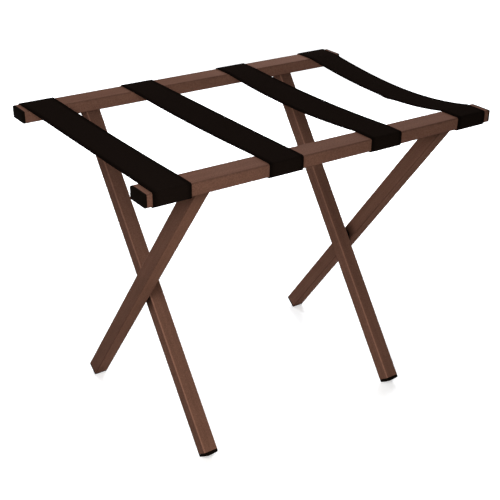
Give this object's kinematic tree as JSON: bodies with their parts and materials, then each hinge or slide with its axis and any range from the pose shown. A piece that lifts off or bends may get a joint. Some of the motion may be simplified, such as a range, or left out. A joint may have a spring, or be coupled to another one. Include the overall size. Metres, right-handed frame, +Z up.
{
  "type": "folding luggage rack",
  "caption": "Folding luggage rack: crossed frames of painted square steel tube under flat rails, with webbing straps stretched between the rails; it folds about a scissor pivot.",
  "frame": {"origin": "on the floor, in the middle of the open rack", "axes": "+X along the rails, +Y from the front rail to the back rail, +Z up"},
  "size_m": [0.6446, 0.4346, 0.5168],
  "materials": {
    "paint": "satin",
    "plug": "satin",
    "webbing": "matte",
    "steel": "satin"
  },
  "bodies": {
    "outer_frame": {"front_rail": "paint", "front_rail_plug_left": "plug", "front_rail_plug_right": "plug", "outer_leg_left": "paint", "outer_leg_right": "paint", "outer_leg_sleeve_left": "steel", "outer_leg_sleeve_right": "steel", "outer_foot_left": "plug", "outer_foot_right": "plug", "pivot_rivet_left": "paint", "pivot_rivet_right": "paint", "pivot_spacer_left": "plug", "pivot_spacer_right": "plug", "strap_left_end": "webbing", "strap_left_middle": "webbing", "strap_right_middle": "webbing", "strap_right_end": "webbing", "front_rivet_left_end_left": "steel", "front_rivet_left_end_right": "steel", "front_rivet_left_middle_left": "steel", "front_rivet_left_middle_right": "steel", "front_rivet_right_middle_left": "steel", "front_rivet_right_middle_right": "steel", "front_rivet_right_end_left": "steel", "front_rivet_right_end_right": "steel"},
    "inner_frame": {"back_rail": "paint", "back_rail_plug_left": "plug", "back_rail_plug_right": "plug", "inner_leg_left": "paint", "inner_leg_right": "paint", "inner_leg_sleeve_left": "steel", "inner_leg_sleeve_right": "steel", "inner_foot_left": "plug", "inner_foot_right": "plug", "back_rivet_left_end_left": "steel", "back_rivet_left_end_right": "steel", "back_rivet_left_middle_left": "steel", "back_rivet_left_middle_right": "steel", "back_rivet_right_middle_left": "steel", "back_rivet_right_middle_right": "steel", "back_rivet_right_end_left": "steel", "back_rivet_right_end_right": "steel"}
  },
  "joints": [
    {"name": "fold", "type": "hinge", "parent": "outer_frame", "child": "inner_frame", "pos_m": [0, 0, 0.232], "axis": [1, 0, 0], "range_deg": [0, 60], "deforming": ["strap_left_end", "strap_left_middle", "strap_right_middle", "strap_right_end"]}
  ]
}
